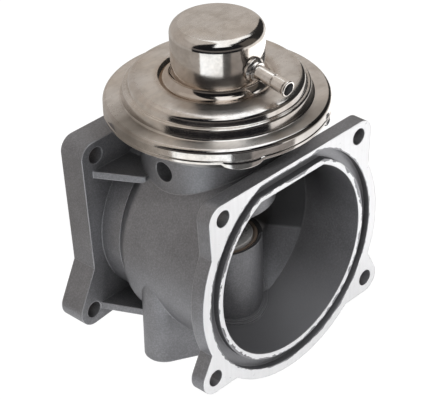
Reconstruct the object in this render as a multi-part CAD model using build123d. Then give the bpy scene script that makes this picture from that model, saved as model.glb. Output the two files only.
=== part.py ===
"""Vacuum operated exhaust gas recirculation valve on its cast intake duct.

Frame: origin at the centre of the exhaust inlet face, on the valve axis. +Z up the
valve axis to the vacuum chamber, -Y out of the duct mouth, millimetres.
"""

from build123d import *

import os
from math import cos, hypot, radians, sin

os.makedirs("parts", exist_ok=True)

# Duct casting: duct centreline along Y, valve axis along Z.
duct_z = 44.2
mouth_r = 39.8
mouth_flat = 35.6
throat_r = 38.2
bore_r = 31.0
wall = 4.2
front_y = -38.8
throat_y = -12.0
taper_y = 0.0
shoulder_y = 12.4
collar_y = 18.4
rear_y = 40.2
front_flange = 6.4
rear_flange = 11.7
barrel_r = throat_r + wall
collar_r = bore_r + 7.0
bolt_r = 3.5

# Flange outline, measured from the duct centreline.
top_bolt_x = 38.8
top_bolt_z = 38.4
low_bolt_x = 44.7
low_bolt_z = -31.9
flange_half = 46.5
flange_draw = 3.4
flange_top = 44.6
ear_r = 6.8
root_r = 20.0
ring_r = 50.6
groove_r = 46.3
groove_depth = 2.8
lip = 2.3
rim_land = 3.0
rear_rise = 2.2

# Exhaust inlet pad, inner tube and seat.
pad_bolt_x = 33.4
pad_end_r = 8.3
pad_mid_r = 24.0
pad_tap_r = 3.4
pad_tap_depth = 16.0
tube_r = 16.95
tube_bore = 13.5
tube_top = duct_z - 4.3
seat_r = 15.0
seat_bore = 11.5
seat_height = 5.6
foot_width = 2.2
foot_height = 1.6

# Neck, guide cup and gussets.
neck_r = 30.2
neck_top = duct_z + 45.8
neck_bore = neck_r - 4.7
cup_r = 22.5
cup_bottom = duct_z + 13.5
cup_floor = 4.4
cup_corner = 1.5
vent_r = 4.2
vent_z = duct_z + 38.7
gusset = 3.0

# Stem, guide and valve head.
stem_r = 3.0
stem_end_r = 2.5
running = 0.05
guide_r = 6.0
guide_top = cup_bottom + 13.6
scraper_r = 7.5
scraper_depth = 2.0
head_r = 13.2
head_edge = 1.2
head_boss = 3.0
stem_nose = 6.6
nut_r = 4.0
nut_height = 4.0
nut_round = 0.4

# Vacuum chamber, from the gasket upwards.
sheet = 1.0
crease = 0.6
gasket = 1.0
pan_sheet = 1.2
pan_z = neck_top + gasket
rim_r = 44.0
rim_top = neck_top + 15.0
rim_height = 6.1
plateau_z = rim_top + 8.3
plateau_r = 33.9
step_z = rim_top + 4.4
step_r = 36.2
recess_r = 22.6
recess_z = plateau_z - 3.0
tower_r = 18.4
tower_height = 22.0
tower_top = plateau_z + tower_height
tower_foot_r = 21.4
tower_draft = 0.4
tower_bend = 3.4
lug_angles = (-124.5, -58.0)
lug_half = 7.4
lug_drop = 2.8
lip_reach = 3.0
pan_flare = 5.2
pan_slope = 3.4

# Diaphragm pack and spring.
pack_z = pan_z + pan_sheet + 1.8
rubber = 0.9
piston_r = 26.0
piston_height = 8.2
spring_r = 11.8
wire_r = 0.9
coils = 5.0
dimple_gap = 2.4
dimple_depth = 2.5
dimple_hole = 3.0

# Vacuum spigot, leaning down from its root on the tower wall.
spigot_root_z = plateau_z + 8.2
spigot_lean = 7.0
spigot_length = 17.6
spigot_r = 2.8
spigot_tip_r = 3.1
spigot_tip = 6.8
spigot_bore = 2.2
spigot_collar_r = 4.9
spigot_collar = 2.4
spigot_inset = 2.2
spigot_pierce = 6.0


def save(shape, name, colour):
    shape.color = Color(*colour)
    shape.label = name
    export_step(shape, f"parts/{name}.step")


def turned(points):
    """Solid turned about Z from a closed profile of (radius, height) corners."""
    profile = make_face(Polyline(*points, close=True).edges())
    return revolve(Plane.XZ * profile, Axis.Z)


def tube_between(inner, outer, low, high):
    return turned([(inner, low), (outer, low), (outer, high), (inner, high)])


def duct_turned(points, bends):
    """Solid turned about the duct centreline from (y, radius) corners."""
    line = [(y, duct_z + radius) for y, radius in points]
    profile = make_face(FilletPolyline(*line, radius=bends, close=True).edges())
    return revolve(Plane.YZ * profile, Axis((0, 0, duct_z), (0, 1, 0)))


def offset_corners(points, depth):
    """Corners of the line that runs depth to the right of points."""
    shifted = []
    for index, (x, z) in enumerate(points):
        normals = []
        for first, last in ((index - 1, index), (index, index + 1)):
            if first >= 0 and last < len(points):
                run = points[last][0] - points[first][0]
                rise = points[last][1] - points[first][1]
                normals.append((rise / hypot(run, rise), -run / hypot(run, rise)))
        across = sum(normal[0] for normal in normals)
        up = sum(normal[1] for normal in normals)
        scale = 2 * depth / (across**2 + up**2) if len(normals) == 2 else depth
        shifted.append((x + across * scale, z + up * scale))
    return shifted


def turned_sheet(points, thickness, bends):
    """Pressed sheet turned about Z. Points follow its upper face, outwards.

    Each bend is the radius on the hollow side of its corner, or 0 for a crease.
    """
    under = offset_corners(points, thickness)
    upper_bends = []
    under_bends = []
    for index, bend in enumerate(bends):
        (x0, z0), (x1, z1), (x2, z2) = points[index : index + 3]
        turns_left = (x1 - x0) * (z2 - z1) - (z1 - z0) * (x2 - x1) > 0
        outer_bend = bend + thickness if bend else 0
        upper_bends.append(bend if turns_left else outer_bend)
        under_bends.append(outer_bend if turns_left else bend)
    radii = [0, *upper_bends, 0, 0, *reversed(under_bends), 0]
    corners = [*points, *reversed(under)]
    profile = make_face(FilletPolyline(*corners, radius=radii, close=True).edges())
    return revolve(Plane.XZ * profile, Axis.Z)


def face_plane(y):
    """Plane across the duct at y: local x along X, local y up from the centreline."""
    return Plane(origin=(0, y, duct_z), x_dir=(1, 0, 0), z_dir=(0, -1, 0))


def below_flat(radius, flat):
    """Circle about the duct centreline with its top cut off flat."""
    cut = Pos(0, flat + radius) * Rectangle(4 * radius, 2 * radius)
    return Circle(radius) - cut


def flange_outline(disc_r, rise):
    """Flange with square top corners, a round middle and two low bolt ears.

    Rise lifts its lower edge between the ears.
    """
    waist_z = low_bolt_z * 0.4
    waist = flange_half - flange_draw
    corners = [
        (-waist, waist_z),
        (waist, waist_z),
        (flange_half, flange_top),
        (-flange_half, flange_top),
    ]
    block = make_face(Polyline(*corners, close=True).edges())
    block = fillet(block.vertices().group_by(Axis.Y)[-1], ear_r - 0.8)
    outline = block + below_flat(disc_r, flange_top)
    root_z = low_bolt_z - ear_r + root_r + rise
    for side in (-1, 1):
        ear = Pos(side * low_bolt_x, low_bolt_z) * Circle(ear_r)
        root = Pos(side * low_bolt_x * 0.506, root_z) * Circle(root_r)
        outline += make_hull((ear + root).edges())
    return outline


def bolt_spots():
    return [
        (side * x, z)
        for x, z in ((top_bolt_x, top_bolt_z), (low_bolt_x, low_bolt_z))
        for side in (-1, 1)
    ]


def pad_outline():
    """Two-bolt pad: round ends joined to a larger middle by straight sides."""
    ends = [Pos(side * pad_bolt_x, 0) * Circle(pad_end_r) for side in (-1, 1)]
    return make_hull((Circle(pad_mid_r) + ends).edges())


def gusset_plate(top, inner_y, inner_x):
    """Flat web between the rear flange and the barrel, free edge slanting in."""
    back = rear_y - rear_flange
    web = Polyline(
        (-low_bolt_x + 3.4, back + 1),
        (-inner_x, inner_y),
        (-bore_r / 2, inner_y),
        (-bore_r / 2, back + 1),
        close=True,
    )
    return extrude(Pos(0, 0, top - gusset) * make_face(web.edges()), gusset)


# Housing: barrel, flanges, neck, pad and gussets, then the hollows.
barrel = duct_turned(
    [
        (front_y, 0),
        (front_y, mouth_r + rim_land),
        (front_y + front_flange, barrel_r + 0.6),
        (shoulder_y, barrel_r),
        (collar_y, collar_r - 0.6),
        (collar_y, collar_r),
        (rear_y, collar_r),
        (rear_y, 0),
    ],
    [0, 0, 0, 4.0, 0, 0, 0, 0],
)
front_face = face_plane(front_y + front_flange)
front = extrude(front_face * flange_outline(ring_r, 0), front_flange)
rear = extrude(face_plane(rear_y) * flange_outline(collar_r, rear_rise), rear_flange)
pad = extrude(pad_outline(), duct_z - 6.0)
neck = turned(
    [(0, duct_z), (neck_r - 0.5, duct_z), (neck_r + 0.3, neck_top), (0, neck_top)]
)
body = barrel + front + rear + pad + neck
for side in (-1, 1):
    for web in (
        gusset_plate(duct_z + 31.9, 10.3, neck_r),
        gusset_plate(duct_z - 30.4, 8.6, bore_r),
    ):
        body += web if side < 0 else mirror(web, Plane.YZ)


def duct_hollow(inset):
    """Air path through the duct, drawn inset inside its wall."""
    hollow = duct_turned(
        [
            (front_y - 1, 0),
            (front_y - 1, mouth_r - inset),
            (front_y, mouth_r - inset),
            (throat_y, throat_r - inset),
            (taper_y, bore_r - inset),
            (rear_y + 1, bore_r - inset),
            (rear_y + 1, 0),
        ],
        [0, 0, 0, 0, 4.0, 0, 0],
    )
    above = Pos(0, 0, duct_z + mouth_flat + mouth_r) * Box(
        4 * mouth_r, 4 * mouth_r, 2 * mouth_r
    )
    return hollow - above


tube_solid = tube_between(0, tube_r, 0, tube_top)
foot_low = tube_between(0, tube_r + foot_width, 0, duct_z)
foot_high = tube_between(0, tube_r + foot_width / 2, 0, duct_z)
foot_solid = (foot_low - duct_hollow(foot_height / 2)) + (
    foot_high - duct_hollow(foot_height)
)
cup_solid = turned(
    [
        (0, cup_bottom),
        (cup_r - cup_corner, cup_bottom),
        (cup_r, cup_bottom + cup_corner),
        (cup_r, neck_top),
        (0, neck_top),
    ]
)
body = body - (duct_hollow(0) - tube_solid - foot_solid - cup_solid)

cup_bore = cup_r - 3.8
cup_base = cup_bottom + cup_floor
ledge = duct_z + mouth_flat + 3.7
neck_space = turned(
    [
        (0, cup_base),
        (cup_bore - cup_corner, cup_base),
        (cup_bore, cup_base + cup_corner),
        (cup_bore, ledge),
        (neck_bore, ledge),
        (neck_bore, neck_top + 1),
        (0, neck_top + 1),
    ]
)
guide_boss = tube_between(0, guide_r + 3.0, cup_base - 1, guide_top)
body = body - (neck_space - guide_boss)
body -= tube_between(0, guide_r, cup_bottom - 1, guide_top + 1)
body -= tube_between(0, scraper_r, cup_bottom - 1, cup_bottom + scraper_depth)
body -= tube_between(0, tube_bore, -1, tube_top + 1)
body -= tube_between(0, seat_r, tube_top - seat_height, tube_top + 1)
body -= turned(
    [
        (0, tube_top - 0.8),
        (seat_r, tube_top - 0.8),
        (seat_r + 1.2, tube_top + 0.4),
        (0, tube_top + 0.4),
    ]
)
body -= Pos(0, 0, vent_z) * Rot(0, 90, 0) * Cylinder(vent_r, 2 * neck_r + 10)
bolts = Sketch() + [Pos(x, z) * Circle(bolt_r) for x, z in bolt_spots()]
body -= extrude(face_plane(front_y + front_flange + 0.5) * bolts, front_flange + 1)
body -= extrude(face_plane(rear_y + 0.5) * bolts, rear_flange + 1)
groove = below_flat(groove_r, flange_top - 1.9) - below_flat(
    mouth_r + lip, mouth_flat + lip
)
body -= extrude(face_plane(front_y + groove_depth) * groove, groove_depth + 1)
taps = Sketch() + [Pos(side * pad_bolt_x, 0) * Circle(pad_tap_r) for side in (-1, 1)]
body -= extrude(Pos(0, 0, -1) * taps, pad_tap_depth + 1)
screw_r = 2.0
screw_ring = (neck_bore + neck_r) / 2
screw_spots = [
    (screw_ring * cos(radians(turn)), screw_ring * sin(radians(turn)))
    for turn in (45, 135, 225, 315)
]
screw_length = 9.0
for x, y in screw_spots:
    body -= Pos(x, y, neck_top - screw_length / 2) * Cylinder(screw_r, screw_length)
housing = body.solids().sort_by(SortBy.VOLUME)[-1]
save(housing, "housing", (0.55, 0.55, 0.57))

# Seat, head and stem.
seat_top = tube_top - 0.2
cone_low = seat_top - (seat_r - seat_bore - 1.0)
seat_ring = turned(
    [
        (seat_bore, tube_top - seat_height),
        (seat_r, tube_top - seat_height),
        (seat_r, seat_top),
        (seat_r - 1.0, seat_top),
        (seat_bore, cone_low),
    ]
)
save(seat_ring, "seat_ring", (0.7, 0.7, 0.72))

# The head's cone stands off the seat's by the running gap, measured across it.
cone_shift = seat_top + running * 1.5 - (seat_r - 1.0)
head_low_r = seat_bore - 0.6
valve_head = turned(
    [
        (stem_end_r, head_low_r + cone_shift),
        (head_low_r, head_low_r + cone_shift),
        (head_r, head_r + cone_shift),
        (head_r, head_r + cone_shift + head_edge),
        (head_r - 0.4, head_r + cone_shift + head_edge + 0.4),
        (stem_r + head_boss, head_r + cone_shift + head_edge + 0.4),
        (stem_r + head_boss * 0.4, head_r + cone_shift + head_edge + 1.6),
        (stem_end_r, head_r + cone_shift + head_edge + 1.6),
    ]
)
save(valve_head, "valve_head", (0.72, 0.71, 0.7))

head_under = head_low_r + cone_shift
head_over = head_r + cone_shift + head_edge + 1.6
plate_z = pack_z - 1.0
stem_top = pack_z + rubber + sheet + stem_nose
valve_stem = turned(
    [
        (0, head_under - 1.2),
        (stem_end_r + 0.7, head_under - 1.2),
        (stem_end_r + 0.7, head_under),
        (stem_end_r, head_under),
        (stem_end_r, head_over),
        (stem_r, head_over),
        (stem_r, plate_z),
        (stem_end_r, plate_z),
        (stem_end_r, stem_top - 0.6),
        (stem_end_r - 0.6, stem_top),
        (0, stem_top),
    ]
)
save(valve_stem, "valve_stem", (0.74, 0.74, 0.75))

stem_scraper = turned(
    [
        (stem_r + running, cup_bottom + 0.2),
        (scraper_r - 1.0, cup_bottom + 0.2),
        (scraper_r, cup_bottom + 0.8),
        (scraper_r, cup_bottom + scraper_depth),
        (stem_r + running, cup_bottom + scraper_depth),
    ]
)
save(stem_scraper, "stem_scraper", (0.62, 0.5, 0.3))

stem_guide = tube_between(
    stem_r + running, guide_r, cup_bottom + scraper_depth, guide_top
)
stem_guide = chamfer(
    stem_guide.edges().group_by(Axis.Z)[-1].sort_by(SortBy.RADIUS)[-1], 0.5
)
save(stem_guide, "stem_guide", (0.6, 0.47, 0.28))

seal_height = 2.4
stem_seal = turned(
    [
        (stem_r + running, guide_top),
        (guide_r + 1.5, guide_top),
        (guide_r + 1.5, guide_top + seal_height),
        (stem_r + 1.6, guide_top + seal_height),
        (stem_r + running, guide_top + seal_height - 1.0),
    ]
)
save(stem_seal, "stem_seal", (0.08, 0.08, 0.08))

cap_r = guide_r + 3.0
seal_retainer = turned(
    [
        (cap_r, guide_top - 4.0),
        (cap_r + 0.8, guide_top - 4.0),
        (cap_r + 0.8, guide_top + seal_height + 0.8),
        (stem_r + 1.0, guide_top + seal_height + 0.8),
        (stem_r + 1.0, guide_top + seal_height),
        (cap_r, guide_top + seal_height),
    ]
)
save(seal_retainer, "seal_retainer", (0.66, 0.66, 0.68))

# Gasket and lower pan with its screws.
pan_hole = cup_bore - 4.0
screw_holes = Sketch() + [Pos(x, y) * Circle(screw_r) for x, y in screw_spots]
heat_gasket = extrude(
    Pos(0, 0, neck_top) * (Circle(neck_r + 0.3) - Circle(pan_hole) - screw_holes),
    gasket,
)
save(heat_gasket, "heat_gasket", (0.35, 0.33, 0.3))

edge_r = rim_r - sheet - crease
lip_z = rim_top - rim_height
pan_flange_z = lip_z + sheet
pan_top = pan_flange_z + pan_sheet
lower_pan = turned_sheet(
    [
        (pan_hole, pan_z + pan_sheet),
        (neck_r + pan_flare - pan_slope, pan_z + pan_sheet),
        (neck_r + pan_flare, pan_top),
        (edge_r, pan_top),
    ],
    pan_sheet,
    [0, 0],
)
lower_pan -= extrude(Pos(0, 0, pan_z - 1) * screw_holes, 4 * pan_sheet)
save(lower_pan, "lower_pan", (0.62, 0.6, 0.57))

head_seat = pan_z + pan_sheet
pan_screws = []
for x, y in screw_spots:
    screw = turned(
        [
            (0, neck_top - screw_length + 0.5),
            (screw_r - 0.5, neck_top - screw_length + 0.5),
            (screw_r, neck_top - screw_length + 1.0),
            (screw_r, head_seat),
            (3.4, head_seat),
            (3.4, head_seat + 0.9),
            (2.6, head_seat + 1.5),
            (0, head_seat + 1.5),
        ]
    )
    screw -= Pos(0, 0, head_seat + 1.2) * Box(4.4, 0.8, 1.0)
    pan_screws.append(Pos(x, y, 0) * screw)
save(Compound(children=pan_screws), "pan_screws", (0.6, 0.6, 0.62))

# Diaphragm pack: plate, diaphragm, spring cup, washer and nut.
hub = stem_end_r + running
backing_plate = tube_between(hub, piston_r - 4.0, plate_z, pack_z)
save(backing_plate, "backing_plate", (0.64, 0.63, 0.6))

bead_low = pan_top
bead_high = rim_top - sheet
clamp_z = (bead_low + bead_high) / 2 + rubber / 2
loop_z = clamp_z + 3.2
skin_r = piston_r + rubber
diaphragm = turned_sheet(
    [
        (hub, pack_z + rubber),
        (piston_r, pack_z + rubber),
        (piston_r, loop_z),
        (skin_r + 4.6, loop_z),
        (skin_r + 4.6, clamp_z),
        (edge_r, clamp_z),
    ],
    rubber,
    [0, 1.2, 1.2, 0],
)
bead = tube_between(skin_r + 10.0, edge_r, bead_low, bead_high)
diaphragm = (diaphragm + bead).solids()[0]
save(diaphragm, "diaphragm", (0.06, 0.06, 0.06))

cup_low = pack_z + rubber
piston_cup = turned_sheet(
    [
        (hub, cup_low + sheet),
        (piston_r - sheet, cup_low + sheet),
        (piston_r - sheet, cup_low + sheet + piston_height),
    ],
    sheet,
    [0],
)
save(piston_cup, "piston_cup", (0.66, 0.65, 0.62))

washer_top = cup_low + sheet + 1.0
stem_washer = tube_between(hub, 6.0, cup_low + sheet, washer_top)
save(stem_washer, "stem_washer", (0.68, 0.68, 0.7))

nut_top = washer_top + nut_height
hexagon = RegularPolygon(nut_r, 6, major_radius=False)
nut = extrude(Pos(0, 0, washer_top) * hexagon, nut_height)
nut -= tube_between(0, hub, washer_top - 1, nut_top + 1)
corner_r = nut_r * 1.16
crown = turned(
    [
        (0, washer_top),
        (corner_r, washer_top),
        (corner_r, nut_top - nut_round),
        (nut_r, nut_top),
        (0, nut_top),
    ]
)
save((nut & crown).solids()[0], "stem_nut", (0.66, 0.66, 0.68))

# Cover: recess, plateau, step, rim, skirt and the lip rolled under the pan.
cover = turned_sheet(
    [
        (tower_r - lip_reach, recess_z),
        (recess_r - 0.5, recess_z),
        (recess_r, plateau_z),
        (plateau_r, plateau_z),
        (plateau_r + 0.5, step_z + 0.1),
        (step_r, step_z - 0.1),
        (step_r + 0.7, rim_top),
        (rim_r, rim_top),
        (rim_r, lip_z),
        (rim_r - lip_reach, lip_z),
    ],
    sheet,
    [0, 0, 1.6, 0, 0, 0, crease, 0],
)
lug_ring = turned(
    [
        (rim_r - lip_reach, lip_z - lug_drop),
        (rim_r - 1.4, lip_z - lug_drop),
        (rim_r - 0.4, lip_z - lug_drop / 2),
        (rim_r - 0.4, lip_z + 0.4),
        (rim_r - lip_reach, lip_z + 0.4),
    ]
)
lug_round = (lug_half**2 + lug_drop**2) / (2 * lug_drop)
for turn in lug_angles:
    across = Pos(rim_r, 0, lip_z - lug_drop + lug_round) * Rot(0, 90, 0)
    cover += lug_ring & (Rot(0, 0, turn) * across * Cylinder(lug_round, 3 * lip_reach))
save(cover.solids()[0], "cover", (0.75, 0.72, 0.69))

# Tower: drawn cup with a foot that sits in the cover's recess.
tower = turned_sheet(
    [
        (0, tower_top),
        (tower_r, tower_top),
        (tower_r - tower_draft, recess_z + sheet),
        (tower_foot_r, recess_z + sheet),
    ],
    sheet,
    [tower_bend, 0],
)
lean = radians(spigot_lean)
root = Vector(0, -tower_r, spigot_root_z)
along = Vector(0, -cos(lean), -sin(lean))
spigot_plane = Plane(origin=root, x_dir=(1, 0, 0), z_dir=along)


def along_spigot(points):
    """Solid turned about the spigot's axis from (radius, distance) corners."""
    profile = make_face(Polyline(*points, close=True).edges())
    return spigot_plane * revolve(Plane.XZ * profile, Axis.Z)


tower -= along_spigot(
    [
        (0, -spigot_pierce),
        (spigot_r, -spigot_pierce),
        (spigot_r, spigot_pierce),
        (0, spigot_pierce),
    ]
)
save(tower, "spring_tower", (0.76, 0.73, 0.7))

tip = spigot_length - spigot_tip
spigot = along_spigot(
    [
        (spigot_bore, -spigot_inset),
        (spigot_r, -spigot_inset),
        (spigot_r, tip - 0.4),
        (spigot_r - 0.3, tip - 0.3),
        (spigot_r - 0.3, tip - 0.1),
        (spigot_tip_r, tip),
        (spigot_tip_r, spigot_length - 0.3),
        (spigot_tip_r - 0.3, spigot_length),
        (spigot_tip_r - 0.5, spigot_length),
        (spigot_bore, spigot_length - 2.0),
    ]
)
save(spigot, "vacuum_spigot", (0.78, 0.76, 0.73))

collar = along_spigot(
    [
        (spigot_r, -3.5),
        (spigot_collar_r, -3.5),
        (spigot_collar_r, spigot_collar / 4),
        (spigot_collar_r - 0.9, spigot_collar / 2),
        (spigot_collar_r - 1.1, spigot_collar),
        (spigot_r, spigot_collar),
    ]
)
tower_foot_z = recess_z + sheet
collar -= turned(
    [
        (0, tower_foot_z),
        (tower_r - tower_draft, tower_foot_z),
        (tower_r, tower_top),
        (0, tower_top),
    ]
)
save(collar.solids().sort_by(SortBy.VOLUME)[-1], "spigot_collar", (0.76, 0.73, 0.7))

# Spring and its upper seat.
seat_plate_r = spring_r + wire_r + 1.0
dimple_r = spring_r - wire_r - dimple_gap
dimple_z = tower_top - sheet - dimple_depth
spring_seat = turned_sheet(
    [
        (dimple_hole, dimple_z),
        (dimple_r - 0.8, dimple_z),
        (dimple_r, tower_top - sheet),
        (seat_plate_r, tower_top - sheet),
    ],
    sheet,
    [0, 0],
)
save(spring_seat, "spring_seat", (0.64, 0.63, 0.6))

spring_low = cup_low + sheet
spring_high = tower_top - 2 * sheet
spring_run = spring_high - spring_low
coil = Helix(spring_run / coils, spring_run, spring_r)
start = Plane(origin=coil @ 0, z_dir=coil % 0)
wire = sweep(start * RegularPolygon(wire_r, 6), path=coil)
wire = Pos(0, 0, spring_low) * wire
ground = Pos(0, 0, spring_low + spring_run / 2) * Cylinder(2 * spring_r, spring_run)
save((wire & ground).solids().sort_by(SortBy.VOLUME)[-1], "return_spring", (0.6, 0.6, 0.62))
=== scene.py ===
"""Looks of a vacuum operated exhaust gas recirculation valve, laid out as an add-on.

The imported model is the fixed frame. Each operator dresses or replaces pieces of it, in
metres, with +Z up the valve axis and -Y out of the duct mouth.
"""

from math import atan2, cos, hypot, pi, radians, sin, tan

import bmesh
import bpy
from bpy.props import FloatProperty, FloatVectorProperty, IntProperty, PointerProperty
from mathutils import Matrix, Vector


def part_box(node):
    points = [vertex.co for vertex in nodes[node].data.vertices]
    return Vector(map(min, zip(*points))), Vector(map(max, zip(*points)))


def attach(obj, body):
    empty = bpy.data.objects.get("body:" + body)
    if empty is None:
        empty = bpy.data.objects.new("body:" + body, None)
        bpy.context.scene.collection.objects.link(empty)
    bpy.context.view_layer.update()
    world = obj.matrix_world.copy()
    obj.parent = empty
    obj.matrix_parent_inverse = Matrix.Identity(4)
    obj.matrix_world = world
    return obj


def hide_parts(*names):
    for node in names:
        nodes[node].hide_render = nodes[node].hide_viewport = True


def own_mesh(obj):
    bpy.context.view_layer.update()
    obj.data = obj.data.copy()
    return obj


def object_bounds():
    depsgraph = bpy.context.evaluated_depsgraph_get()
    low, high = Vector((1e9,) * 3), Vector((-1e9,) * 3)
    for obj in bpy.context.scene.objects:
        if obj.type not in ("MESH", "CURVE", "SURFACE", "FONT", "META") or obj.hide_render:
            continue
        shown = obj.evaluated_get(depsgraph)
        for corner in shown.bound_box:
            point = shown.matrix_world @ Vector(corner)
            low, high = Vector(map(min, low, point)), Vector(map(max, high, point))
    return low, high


bl_info = {
    "name": "Recirculation valve looks",
    "version": (1, 0, 0),
    "blender": (4, 5, 0),
    "location": "View3D > Sidebar > Valve",
    "description": "Materials, plated chamber, spigot and studio for a recirculation valve",
    "category": "Object",
}

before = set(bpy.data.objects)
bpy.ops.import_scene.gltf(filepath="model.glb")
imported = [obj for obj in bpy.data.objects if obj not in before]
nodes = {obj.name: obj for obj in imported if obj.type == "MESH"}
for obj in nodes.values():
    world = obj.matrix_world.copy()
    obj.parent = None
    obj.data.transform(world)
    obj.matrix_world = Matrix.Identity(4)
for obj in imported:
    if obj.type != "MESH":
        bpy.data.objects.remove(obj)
cad_box = [list(corner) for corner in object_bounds()]

MM = 0.001
COVER_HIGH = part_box("cover")[1]
TOWER_LOW, TOWER_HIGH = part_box("spring_tower")
HOUSING_LOW, HOUSING_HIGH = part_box("housing")

# Heights at which the chamber holds the diaphragm and the return spring.
DIAPHRAGM_BEAD = 102.5 * MM
SPRING_TOP = 133.3 * MM

# The rim gets painted shade, standing for dark reflections, at both ends of the line across it
# at this turn, close to the camera's azimuth.
SIDE_SHADE_TURN = radians(-46.14)

# Distances out from the valve: cards near it on the floor, and cards round the room.
NEAR = (0.10, 0.30)
ROOM = 1.6

# Height on the valve axis at which the lamps point.
LAMP_AIM = 60 * MM


# ---------------------------------------------------------------- sizes and colours


def measure(name, description, default):
    """Property for a length in metres."""
    return FloatProperty(
        name=name, description=description, default=default,
        subtype="DISTANCE", unit="LENGTH", precision=5,
    )


def finish_colour(name, description, default):
    """Property for the colour of a finish."""
    return FloatVectorProperty(
        name=name, description=description, default=default,
        subtype="COLOR", size=3, min=0, max=1,
    )


class ValveCoverSizes(bpy.types.PropertyGroup):
    """Pressed cover of the vacuum chamber."""

    rim_radius: measure("Rim radius", "Outside of the rolled rim", COVER_HIGH.x)
    height: measure("Height", "Raised flat down to the foot of the skirt", 14.4 * MM)
    rim_drop: measure("Rim drop", "Raised flat down to the flat of the rim", 8.3 * MM)
    recess_depth: measure(
        "Recess depth", "Raised flat down to the ring round the tower", 2.1 * MM
    )
    dome: measure("Dome", "How far the raised flat falls towards its edge", 0.95 * MM)
    crease: measure("Crease", "Depth of the crease above the foot of the skirt", 0.45 * MM)
    plateau_radius: measure("Plateau radius", "Edge of the raised flat", 33.9 * MM)
    step_radius: measure("Step radius", "Edge of the narrow step", 36.2 * MM)
    recess_radius: measure("Recess radius", "Edge of the sunk ring round the tower", 22.6 * MM)
    sheet: measure("Sheet", "Thickness of the pressed sheet", 0.95 * MM)
    lobe_drop: measure("Lobe drop", "How far the rim's two lobes hang", 2.75 * MM)
    lobe_start: measure("Lobe start", "Height over which a lobe is drawn down", 2.6 * MM)
    segments: IntProperty(
        name="Segments", description="Steps round the turned pieces", default=224, min=24,
    )


class ValveCastingSizes(bpy.types.PropertyGroup):
    """Machined faces, mouth and inside of the cast duct."""

    axis_height: measure("Axis height", "Duct axis above the pad", 44.2 * MM)
    mouth_radius: measure("Mouth radius", "Round part of the mouth", 39.8 * MM)
    mouth_flat: measure("Mouth flat", "Flat top of the mouth above the axis", 35.6 * MM)
    lip: measure("Lip", "Milled width round the mouth", 2.3 * MM)
    groove_radius: measure("Groove radius", "Outside of the groove", 46.3 * MM)
    groove_flat: measure("Groove flat", "Top of the groove above the axis", 42.7 * MM)
    groove_depth: measure("Groove depth", "Depth of the groove", 2.8 * MM)
    throat: measure("Throat", "Place along Y where the mouth's taper ends", -12.0 * MM)
    throat_radius: measure("Throat radius", "Inside of the duct at the throat", 38.5 * MM)
    tube_radius: measure("Tube radius", "Outside of the inlet tube in the duct", 13.0 * MM)
    # Lower edge of the soot and painted shadow in the duct, from the duct axis.
    soot_and_shadow_foot: measure("Soot foot", "Lower edge of the soot, from the duct axis", -15.5 * MM)
    # How far the painted shade in the corners spreads.
    corner_shade_reach: measure("Grime reach", "How far grime spreads out of a corner", 9.0 * MM)
    edge: measure("Edge", "Worn radius on every edge of the casting", 0.7 * MM)


class ValveTowerSizes(bpy.types.PropertyGroup):
    """Drawn spring tower and its vacuum spigot."""

    radius: measure("Tower radius", "Wall radius at the top", 18.4 * MM)
    offset: FloatVectorProperty(
        name="Offset", description="How far the tower is pressed off the valve axis",
        default=(0.40 * MM, -0.42 * MM, 0.0), subtype="TRANSLATION", unit="LENGTH", size=3,
        precision=5,
    )
    lift: measure("Lift", "Travel of the valve", 6.5 * MM)
    bend: measure("Shoulder bend", "Outside radius of the top shoulder", 4.0 * MM)
    foot_bend: measure("Foot bend", "Radius where the wall runs into the cover", 3.3 * MM)
    foot_rise: measure("Foot rise", "Height of the foot above the frame's own", 1.9 * MM)
    sheet: measure("Sheet", "Thickness of the drawn sheet", 0.95 * MM)
    spigot_radius: measure("Spigot radius", "Outside of the vacuum spigot", 2.8 * MM)
    spigot_bead: measure("Spigot bead", "Outside of the bead at its end", 3.25 * MM)
    spigot_bore: measure("Spigot bore", "Bore of the vacuum spigot", 2.2 * MM)
    spigot_length: measure("Spigot length", "Tower wall to the end", 17.6 * MM)
    spigot_hose: measure("Hose length", "Length of the part that a hose covers", 6.8 * MM)
    spigot_height: measure(
        "Spigot height", "Root of the spigot above the raised flat", 8.2 * MM
    )
    collar_radius: measure("Collar radius", "Collar at the root of the spigot", 4.9 * MM)
    spigot_lean: FloatProperty(
        name="Spigot lean", description="How far the spigot points below level",
        default=radians(7.0), subtype="ANGLE", unit="ROTATION",
    )


class ValveColours(bpy.types.PropertyGroup):
    """Colours of the finishes."""

    cast: finish_colour("Cast aluminium", "Skin of the casting", (0.272, 0.272, 0.285))
    milled: finish_colour("Milled aluminium", "Machined faces", (0.80, 0.80, 0.81))
    plated: finish_colour("Nickel plate", "Bright plate of the chamber", (0.80, 0.77, 0.745))
    tarnish: finish_colour("Tarnish", "Warm bloom on the nickel plate", (0.74, 0.675, 0.61))
    # Warm, darker tint on the plate near the tower's foot.
    foot_tint: finish_colour(
        "Stain", "Brown stain on the plate at the tower's foot", (0.54, 0.455, 0.385)
    )
    steel: finish_colour("Steel", "Turned and pressed steel", (0.56, 0.55, 0.54))
    heat_tint: finish_colour("Heat tint", "Steel browned by exhaust heat", (0.34, 0.26, 0.205))
    bronze: finish_colour("Bronze", "Sintered guide bush", (0.50, 0.33, 0.15))
    rubber: finish_colour("Rubber", "Diaphragm and seal", (0.022, 0.022, 0.023))
    fibre: finish_colour("Gasket fibre", "Heat gasket", (0.10, 0.09, 0.08))


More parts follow.
